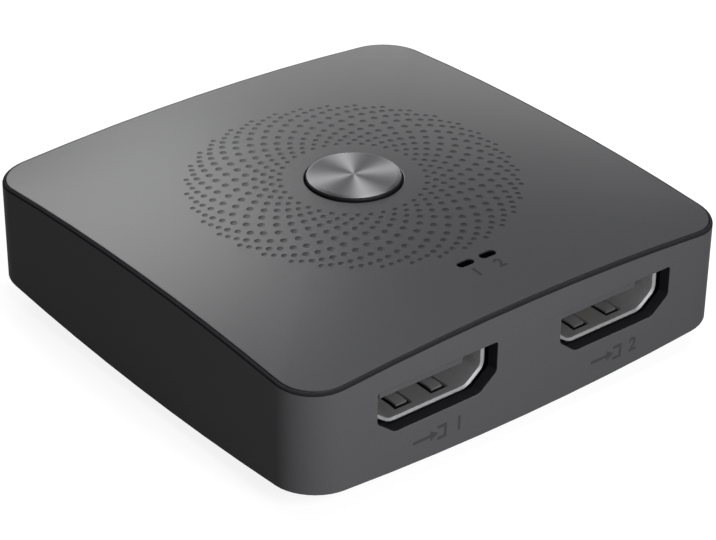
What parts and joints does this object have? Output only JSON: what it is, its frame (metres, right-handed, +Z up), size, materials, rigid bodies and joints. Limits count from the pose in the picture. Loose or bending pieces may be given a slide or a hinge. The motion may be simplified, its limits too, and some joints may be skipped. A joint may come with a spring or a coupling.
{
  "type": "hdmi switch box",
  "caption": "Square two-way HDMI switch box with a domed dimpled top, a turned metal push button, indicator slots and HDMI sockets front and back.",
  "frame": {"origin": "middle of the case on the plane that the feet stand on", "axes": "+Z up through the button, front with the two input sockets towards -Y, +X to the right seen from the front"},
  "size_m": [0.06, 0.06, 0.0185],
  "materials": {
    "panel_aluminium": "bead-blasted and anodised dark grey",
    "housing_abs": "painted satin dark grey",
    "cover_abs": "fine spark-eroded texture, dark grey",
    "screw_steel": "zinc plated",
    "foot_rubber": "matt moulded rubber",
    "board_laminate": "black solder mask on glass-fibre laminate",
    "socket_steel": "matt tin-plated sheet",
    "socket_insulator": "moulded dark grey",
    "contact_brass": "gold flash",
    "component_plastic": "moulded black epoxy",
    "spring_steel": "bright strip",
    "button_abs": "moulded black",
    "disc_aluminium": "turned face with a diamond-cut bevel",
    "guide_acrylic": "smoked acrylic",
    "lamp_resin": "clear resin on white body",
    "capacitor_ceramic": "fired ceramic"
  },
  "bodies": {
    "case": {"top_panel": "panel_aluminium", "housing": "housing_abs", "bottom_cover": "cover_abs", "cover_screws": "screw_steel", "rubber_feet": "foot_rubber", "main_board": "board_laminate", "hdmi_in_1_shell": "socket_steel", "hdmi_in_1_insulator": "socket_insulator", "hdmi_in_1_contacts": "contact_brass", "hdmi_in_2_shell": "socket_steel", "hdmi_in_2_insulator": "socket_insulator", "hdmi_in_2_contacts": "contact_brass", "hdmi_out_shell": "socket_steel", "hdmi_out_insulator": "socket_insulator", "hdmi_out_contacts": "contact_brass", "switch_base": "component_plastic", "switch_snap_disc": "spring_steel", "switch_plate": "spring_steel", "switch_pins": "spring_steel", "light_guide": "guide_acrylic", "status_lamps": "lamp_resin", "signal_chip": "component_plastic", "regulator": "component_plastic", "power_diodes": "component_plastic", "surge_arrays": "component_plastic", "capacitors": "capacitor_ceramic", "resistors": "component_plastic"},
    "button": {"button_cap": "button_abs", "button_disc": "disc_aluminium"},
    "plunger": {"switch_plunger": "component_plastic"}
  },
  "joints": [
    {"name": "button_press", "type": "slide", "parent": "case", "child": "button", "axis": [0, 0, -1], "range_m": [0, 0.00035], "stiffness_N_per_m": 5000},
    {"name": "plunger_press", "type": "slide", "parent": "case", "child": "plunger", "axis": [0, 0, -1], "range_m": [0, 0.00035], "deforming": ["switch_snap_disc"]}
  ],
  "couplings": [
    {"joint": "plunger_press", "follows": "button_press", "ratio": 1}
  ]
}
